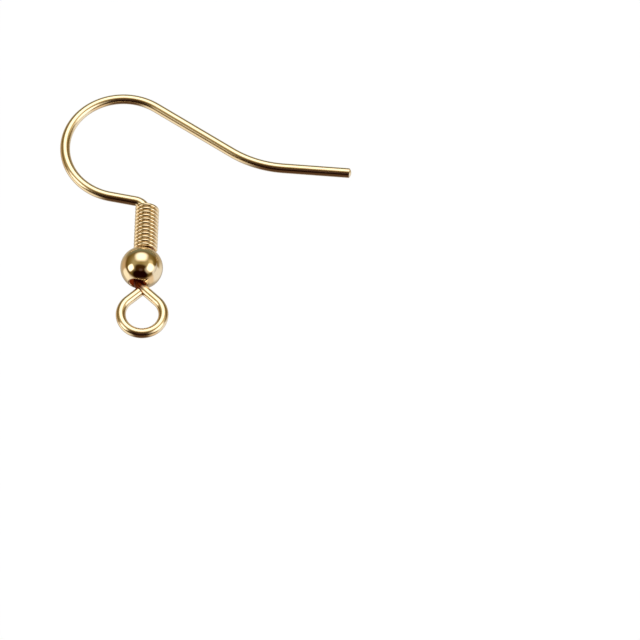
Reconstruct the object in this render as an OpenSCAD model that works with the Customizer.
// Fish-hook ear wire of gold-plated brass, lying on a flat surface.
// One bent wire makes the loop, the stem, the bow and the leg. A close-wound coil
// sits round the stem, on a hollow bead. Inside the bead the stem leans, and the bead with it.
// The wire is bent in one plane: u to the side of the leg, v up the stem, w out of
// the plane. The piece is then laid on the surface, on the bead and two points of the wire.

/* [Hook wire] */
// Diameter of the round wire
wire_d = 0.7; // [0.5:0.05:1]
// Angle at which the stem leans inside the bead
stem_lean = 10; // [1:0.5:14]
// Height above the bead's middle at which the stem straightens
knee_up = 1; // [0.8:0.05:1.2]
// Centreline radius of the bend where it straightens
knee_r = 2; // [1:0.1:3]
// Centreline radius of the bend at the top of the stem
neck_r = 1; // [0.9:0.05:2]
// Angle that the wire turns through at the top of the stem
neck_turn = 80; // [60:1:95]
// Straight run between the neck and the bow
neck_run = 1.8; // [0.5:0.1:3]
// Centreline radius of the bow, which goes through the ear
bow_r = 4.15; // [3:0.05:6]
// Angle that the bow turns through
bow_turn = 203; // [185:1:215]
// Straight length of the leg behind the ear
leg_l = 6.6; // [4:0.1:10]
// Centreline radius of the kink in the leg
kink_r = 7.5; // [1:0.5:10]
// Angle of the kink in the leg
kink_turn = 30; // [10:1:40]
// Straight length of the leg from the kink to its end
tip_l = 4.9; // [3:0.1:8]
// Height of the domed end of the leg
tip_dome = 0.15; // [0.05:0.01:0.2]

/* [Loop] */
// Inside diameter of the loop
loop_d = 2.28; // [1.6:0.02:4]
// Angle between each strand of the loop and the stem's line
loop_spread = 47; // [35:1:60]
// Centreline radius of the bend between the stem and the loop
loop_bend_r = 0.7; // [0.5:0.05:1]
// Space between the lip of the bead's lower hole and the strand that passes it
strand_gap = 0.04; // [0.03:0.01:0.3]

/* [Coil] */
// Diameter of the coil's wire
coil_wire_d = 0.28; // [0.2:0.01:0.32]
// Play between the stem and the coil, all round
coil_play = 0.22; // [0.18:0.01:0.24]
// How far the loose coil lies off the stem's line, to the side of the leg
coil_off = 0.04; // [0:0.01:0.06]
// Space between one turn and the next
coil_turn_gap = 0.012; // [0.01:0.002:0.05]
// Number of turns
coil_turns = 11.8; // [6:0.1:16]
// How far the cut end stands above the last turn
coil_end_lift = 0.08; // [0:0.01:0.3]

/* [Bead] */
// Outside diameter of the hollow bead
bead_d = 3; // [2.6:0.1:5]
// Thickness of the bead's wall
bead_wall = 0.15; // [0.1:0.01:0.4]
// How much wider the bead's two holes are than the wire
bead_play = 0.5; // [0.4:0.01:0.8]

/* [Fits] */
// Space left between pieces that rest on each other
piece_gap = 0.03; // [0.02:0.005:0.05]

/* [Hidden] */

bend_fn = 96;
wire_fn = 48;
bead_fn = 128;
coil_steps = 24;
coil_sides = 6;
// Part of the last turn over which the cut end rises
coil_lift_turn = 0.3;
// Bending draws the wire this much thinner, and the bend runs this far into each straight
bend_thin = 0.003;
bend_lap = 0.02;
// The bead's rolled lip is this much thinner than its wall
lip_thin = 0.004;

x_axis = [1, 0, 0];
y_axis = [0, 1, 0];

gold = [0.86, 0.68, 0.36];
pale_gold = [0.88, 0.72, 0.42];

wire_r = wire_d / 2;
loop_r = loop_d / 2 + wire_r;
bead_r = bead_d / 2;

// The bead: round the leaning part of the stem, with a lip round each of its holes
bead_centre = [-knee_up * tan(stem_lean), 0];
hole_r = (wire_d + bead_play) / 2;
lip_r = (bead_wall - lip_thin) / 2;
lip_out = hole_r + lip_r;
lip_up = sqrt(pow(bead_r - bead_wall / 2, 2) - pow(lip_out, 2));
low_lip = bead_centre + lip_out * heading(-stem_lean) - lip_up * heading(90 - stem_lean);
bead_top_v = lip_up * cos(stem_lean) + lip_out * sin(stem_lean) + lip_r;

// The coil: half a turn after its start it passes just above the higher side of the bead's lip
coil_r = wire_r + coil_play + coil_wire_d / 2;
coil_pitch = coil_wire_d + coil_turn_gap;
coil_start_v = bead_top_v + coil_wire_d / 2 + piece_gap - coil_pitch / 2;
// Its last pass over the bow's side, half a turn after a whole number of turns, and its height
coil_pass = floor(coil_turns - 0.5) + 0.5;
coil_pass_v = coil_start_v + coil_pitch * coil_pass + coil_lift(coil_pass / coil_turns);
coil_bow_side = coil_r - coil_off;

// The neck starts as low as that pass lets the wire bend
neck_room = neck_r - wire_r - coil_wire_d / 2 - piece_gap;
neck_v = coil_pass_v - sqrt(max(0, pow(neck_room, 2) - pow(neck_r - coil_bow_side, 2)));

// The loop: the strands' lines meet on the stem's line, so far under the bead that one clears its lip
meet_v = (low_lip * heading(loop_spread) - wire_r - lip_r - strand_gap) / sin(loop_spread);
loop_v = meet_v - loop_r / sin(loop_spread);
strand_l = loop_r / tan(loop_spread);
loop_turn = 180 + 2 * loop_spread;
// The cut tail stops beside the other strand
tail_gap = (wire_r + piece_gap + wire_r * cos(2 * loop_spread)) / sin(2 * loop_spread);

// The leaning part of the stem, from its corner with the strand to the knee
corner_v = (meet_v * tan(loop_spread) + knee_up * tan(stem_lean)) / (tan(loop_spread) + tan(stem_lean));
corner_l = (corner_v - meet_v) / cos(loop_spread);
lean_l = (knee_up - corner_v) / cos(stem_lean);
bend_turn = loop_spread + stem_lean;
bend_cut = loop_bend_r * tan(bend_turn / 2);
knee_cut = knee_r * tan(stem_lean / 2);

// The wire's route from the cut tail to the tip. In each row the turn is in degrees,
// and the size is the length of a straight, or the radius of a bend.
tail_heading = 270 - loop_spread;
tail_start = [0, meet_v] + tail_gap * heading(tail_heading);
route = [
    // size, turn
    [strand_l - tail_gap, 0],
    [loop_r, loop_turn],
    [strand_l + corner_l - bend_cut, 0],
    [loop_bend_r, -bend_turn],
    [lean_l - bend_cut - knee_cut, 0],
    [knee_r, stem_lean],
    [neck_v - knee_up - knee_cut, 0],
    [neck_r, neck_turn],
    [neck_run, 0],
    [bow_r, -bow_turn],
    [leg_l, 0],
    [kink_r, kink_turn],
    [tip_l - tip_dome, 0]
];
bow_row = 9;
tip_row = 12;

function heading(a) = [cos(a), sin(a)];
function left_of(a) = [-sin(a), cos(a)];
// Centre of the bend that row makes when the wire is at place p with heading a
function bend_centre(p, a, row) = p + sign(row[1]) * row[0] * left_of(a);
function row_end(p, a, row) = row[1] == 0
    ? p + row[0] * heading(a)
    : bend_centre(p, a, row) - sign(row[1]) * row[0] * left_of(a + row[1]);
// Place and heading of the wire after the first n rows of its route
function at_row(n) = n == 0
    ? [tail_start, tail_heading]
    : let (s = at_row(n - 1)) [row_end(s[0], s[1], route[n - 1]), s[1] + route[n - 1][1]];

// How the piece lies: on the bead, on the bow and on the end of the leg
bow_start = at_row(bow_row);
bow_centre = bend_centre(bow_start[0], bow_start[1], route[bow_row]);
leg_end = at_row(len(route));
rest_line = leg_end[0] - bow_centre;
rest_dir = atan2(rest_line[1], rest_line[0]) + acos(bow_r / norm(rest_line));
rest_reach = (bow_centre - bead_centre) * heading(rest_dir) + bow_r;
tilt = asin((bead_r - wire_r) / rest_reach);
tilt_axis = [-sin(rest_dir), cos(rest_dir), 0];
bead_lift = bead_r + sin(tilt) * (bead_centre * heading(rest_dir));

// A point of the wire's plane as it lies, before it is centred
function laid_point(p) = let (q = [p[0], p[1], 0])
    cos(tilt) * q + sin(tilt) * cross(tilt_axis, q) + (1 - cos(tilt)) * (tilt_axis * q) * tilt_axis;
// How far a flat ring of radius r reaches along an axis as it lies
function laid_reach(r, axis) = r * norm([laid_point([1, 0]) * axis, laid_point([0, 1]) * axis]);
left_x = laid_point(bow_centre).x - laid_reach(bow_r, x_axis) - wire_r;
right_x = laid_point(leg_end[0] + tip_dome * heading(leg_end[1])).x;
top_y = laid_point(bow_centre).y + laid_reach(bow_r, y_axis) + wire_r;
bottom_y = laid_point([0, loop_v]).y - laid_reach(loop_r, y_axis) - wire_r;
origin_shift = [-(left_x + right_x) / 2, -(top_y + bottom_y) / 2, bead_lift];

// Centreline of the coil, from 0 at its first end to 1 at its last
function coil_angle(t) = 360 * coil_turns * t;
function coil_lift(t) = let (rise = max(0, 1 + (t - 1) * coil_turns / coil_lift_turn))
    coil_end_lift * rise * rise;
function coil_point(t, side_angle) = let (
        out = coil_r + coil_wire_d / 2 * cos(side_angle),
        up = coil_start_v + coil_pitch * coil_turns * t + coil_lift(t) + coil_wire_d / 2 * sin(side_angle)
    ) [coil_off + out * cos(coil_angle(t)), up, out * sin(coil_angle(t))];

module laid() {
    translate(origin_shift) rotate(a = tilt, v = tilt_axis) children();
}

module straight(p, a, length) {
    translate([p[0], p[1], 0]) rotate([0, 90, a]) cylinder(d = wire_d, h = length, $fn = wire_fn);
}

module bend(p, a, row) {
    c = bend_centre(p, a, row);
    first = row[1] > 0 ? a - 90 : a + 90 + row[1];
    lap = bend_lap / row[0] * 180 / PI;
    translate([c[0], c[1], 0]) rotate([0, 0, first - lap])
        rotate_extrude(angle = abs(row[1]) + 2 * lap, $fn = bend_fn)
            translate([row[0], 0]) circle(d = wire_d - bend_thin, $fn = wire_fn);
}

// The leg from the kink to its domed end
module tip_leg(p, a) {
    dome_r = (pow(wire_r, 2) + pow(tip_dome, 2)) / (2 * tip_dome);
    translate([p[0], p[1], 0]) rotate([0, 90, a]) rotate_extrude($fn = wire_fn)
        difference() {
            square([wire_r, tip_l]);
            translate([0, tip_l - dome_r]) difference() {
                square([wire_d, dome_r + wire_d]);
                circle(r = dome_r, $fn = bead_fn);
            }
        }
}

module ear_hook() {
    color(gold) laid() union() {
        for (i = [0 : tip_row - 1]) {
            s = at_row(i);
            if (route[i][1] == 0) straight(s[0], s[1], route[i][0]);
            else bend(s[0], s[1], route[i]);
        }
        tip_leg(at_row(tip_row)[0], at_row(tip_row)[1]);
    }
}

module coil() {
    rings = round(coil_turns * coil_steps);
    points = [
        for (i = [0 : rings]) for (j = [0 : coil_sides - 1])
            coil_point(i / rings, 360 * (j + 0.5) / coil_sides)
    ];
    walls = [
        for (i = [0 : rings - 1]) for (j = [0 : coil_sides - 1])
            let (a = i * coil_sides, k = (j + 1) % coil_sides)
            [a + j, a + k, a + coil_sides + k, a + coil_sides + j]
    ];
    first_end = [for (j = [coil_sides - 1 : -1 : 0]) j];
    last_end = [for (j = [0 : coil_sides - 1]) rings * coil_sides + j];
    color(pale_gold) laid() polyhedron(points, concat(walls, [first_end, last_end]), convexity = 10);
}

// The bead turned round its own axis: a hollow ball, cut back round each hole to a rolled lip
module ball_bead() {
    reach = bead_d;
    color(gold) laid() translate(bead_centre) rotate([0, 0, -stem_lean])
        rotate([-90, 0, 0]) rotate_extrude($fn = bead_fn) {
            difference() {
                circle(r = bead_r, $fn = bead_fn);
                circle(r = bead_r - bead_wall, $fn = bead_fn);
                translate([-2 * reach, -reach]) square([2 * reach, 2 * reach]);
                polygon([[0, 0], reach * [lip_out, lip_up], reach * [0, lip_up]]);
                polygon([[0, 0], reach * [0, -lip_up], reach * [lip_out, -lip_up]]);
            }
            for (end = [-1, 1])
                translate([lip_out, end * lip_up]) circle(r = lip_r, $fn = wire_fn);
        }
}

ear_hook();
coil();
ball_bead();
